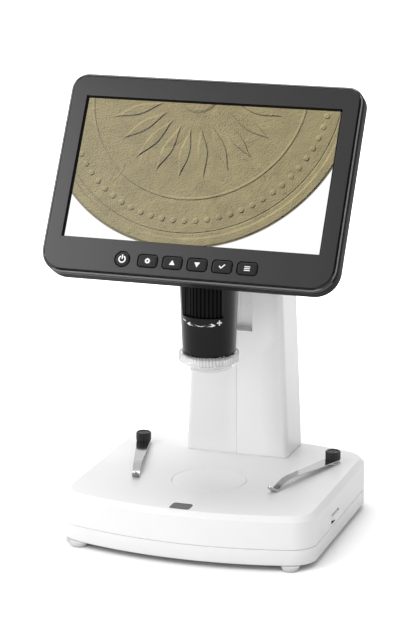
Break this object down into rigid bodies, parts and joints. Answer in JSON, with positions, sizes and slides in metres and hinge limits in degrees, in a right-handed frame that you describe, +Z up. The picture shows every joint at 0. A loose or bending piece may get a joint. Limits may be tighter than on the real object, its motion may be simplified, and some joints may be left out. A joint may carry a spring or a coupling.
{
  "type": "lcd digital microscope",
  "caption": "Desktop digital microscope with a tilting display on a rack-driven head, a lit stage with spring clips, a ribbed focusing drum and a clear lens cap.",
  "frame": {"origin": "centre of the stage surface, on the optical axis", "axes": "+Z up along the optical axis, +Y from the user towards the column, +X to the user's right"},
  "size_m": [0.179, 0.154, 0.2736],
  "materials": {
    "white_shell": "satin white moulded plastic",
    "foot_rubber": "matte light grey rubber",
    "screw_steel": "zinc plated",
    "diffuser": "translucent milky white",
    "reflector": "white",
    "circuit": "green solder mask",
    "ballast": "black paint",
    "component": "black",
    "badge": "glossy dark, blank",
    "bush_steel": "turned",
    "rod_steel": "ground bar",
    "holder": "die cast",
    "brass": "turned",
    "spring_steel": "polished spring strip",
    "black_knob": "satin black",
    "drum_black": "ribbed matte black",
    "barrel_black": "satin black",
    "head_black": "satin black",
    "slide_alloy": "anodised",
    "rack_steel": "cut teeth",
    "lens_glass": "coated",
    "clear_plastic": "clear",
    "casing": "satin dark grey",
    "picture": "lit picture of a worn brass relief",
    "backlight": "folded frame",
    "socket_metal": "plated",
    "bracket_steel": "black",
    "button_black": "satin black with pale icons"
  },
  "bodies": {
    "base": {"base_top_cover": "white_shell", "base_bottom_cover": "white_shell", "feet": "foot_rubber", "base_screws": "screw_steel", "stage_window": "diffuser", "light_cup": "reflector", "light_board": "circuit", "ballast_plate": "ballast", "control_board": "circuit", "dimmer_pot": "component", "power_socket": "component", "badge_plate": "badge", "clip_bushes": "bush_steel", "column_left_shell": "white_shell", "column_right_shell": "white_shell", "column_screws": "screw_steel", "guide_rods": "rod_steel", "rod_holders": "holder", "shaft_bushes": "brass"},
    "dimmer": {"dimmer_wheel": "white_shell"},
    "left_clip": {"clip_strip_left": "spring_steel", "clip_knob_left": "black_knob", "clip_pin_left": "bush_steel"},
    "right_clip": {"clip_strip_right": "spring_steel", "clip_knob_right": "black_knob", "clip_pin_right": "bush_steel"},
    "focus_drive": {"pinion_shaft": "rack_steel", "focus_knob_left": "black_knob", "focus_knob_right": "black_knob"},
    "carriage": {"carriage_block": "slide_alloy", "gear_rack": "rack_steel", "carriage_screws": "screw_steel", "head_arm": "head_black", "head_cover": "head_black", "barrel_housing": "barrel_black", "guide_tube": "slide_alloy", "camera_board": "circuit", "led_board": "circuit"},
    "focus_ring": {"focus_drum": "drum_black", "cam_sleeve": "brass"},
    "lens": {"lens_cell": "barrel_black", "front_lens": "lens_glass"},
    "cap": {"clear_cap": "clear_plastic"},
    "screen": {"front_bezel": "casing", "rear_cover": "casing", "lcd_panel": "picture", "lcd_backlight": "backlight", "main_board": "circuit", "button_board": "circuit", "screen_sockets": "socket_metal", "screen_screws": "screw_steel", "screen_bracket": "bracket_steel", "bracket_screws": "screw_steel", "hinge_pin": "rack_steel"},
    "power_key": {"power_button": "button_black"},
    "function_key": {"function_button": "button_black"},
    "up_key": {"up_button": "button_black"},
    "down_key": {"down_button": "button_black"},
    "ok_key": {"ok_button": "button_black"},
    "menu_key": {"menu_button": "button_black"}
  },
  "joints": [
    {"name": "carriage_slide", "type": "slide", "parent": "base", "child": "carriage", "axis": [0, 0, 1], "range_m": [-0.034, 0.01]},
    {"name": "knob_spin", "type": "hinge", "parent": "base", "child": "focus_drive", "pos_m": [0, 0.0753, 0.1342], "axis": [1, 0, 0], "range_deg": [-150, 490]},
    {"name": "screen_tilt", "type": "hinge", "parent": "carriage", "child": "screen", "pos_m": [0, 0.00963, 0.18563], "axis": [1, 0, 0], "range_deg": [-35, 10]},
    {"name": "drum_spin", "type": "hinge", "parent": "carriage", "child": "focus_ring", "pos_m": [0, 0, 0.1167], "axis": [0, 0, 1], "range_deg": [-150, 150]},
    {"name": "lens_slide", "type": "slide", "parent": "carriage", "child": "lens", "axis": [0, 0, 1], "range_m": [-0.0041, 0.0041]},
    {"name": "cap_pull", "type": "slide", "parent": "carriage", "child": "cap", "axis": [0, 0, -1], "range_m": [0, 0.02]},
    {"name": "dimmer_spin", "type": "hinge", "parent": "base", "child": "dimmer", "pos_m": [0.0684, 0.0018, -0.0144], "axis": [0, 0, 1], "range_deg": [-135, 135]},
    {"name": "left_clip_turn", "type": "hinge", "parent": "base", "child": "left_clip", "pos_m": [-0.062, 0.055, 0], "axis": [0, 0, 1], "range_deg": [-90, 36]},
    {"name": "right_clip_turn", "type": "hinge", "parent": "base", "child": "right_clip", "pos_m": [0.062, 0.055, 0], "axis": [0, 0, 1], "range_deg": [-36, 90]},
    {"name": "power_push", "type": "slide", "parent": "screen", "child": "power_key", "axis": [0, 0.866, -0.5], "range_m": [0, 0.0005], "stiffness_N_per_m": 500},
    {"name": "function_push", "type": "slide", "parent": "screen", "child": "function_key", "axis": [0, 0.866, -0.5], "range_m": [0, 0.0005], "stiffness_N_per_m": 500},
    {"name": "up_push", "type": "slide", "parent": "screen", "child": "up_key", "axis": [0, 0.866, -0.5], "range_m": [0, 0.0005], "stiffness_N_per_m": 500},
    {"name": "down_push", "type": "slide", "parent": "screen", "child": "down_key", "axis": [0, 0.866, -0.5], "range_m": [0, 0.0005], "stiffness_N_per_m": 500},
    {"name": "ok_push", "type": "slide", "parent": "screen", "child": "ok_key", "axis": [0, 0.866, -0.5], "range_m": [0, 0.0005], "stiffness_N_per_m": 500},
    {"name": "menu_push", "type": "slide", "parent": "screen", "child": "menu_key", "axis": [0, 0.866, -0.5], "range_m": [0, 0.0005], "stiffness_N_per_m": 500}
  ],
  "couplings": [
    {"joint": "knob_spin", "follows": "carriage_slide", "rad_per_m": -250},
    {"joint": "lens_slide", "follows": "drum_spin", "m_per_rad": 0.0015279}
  ]
}
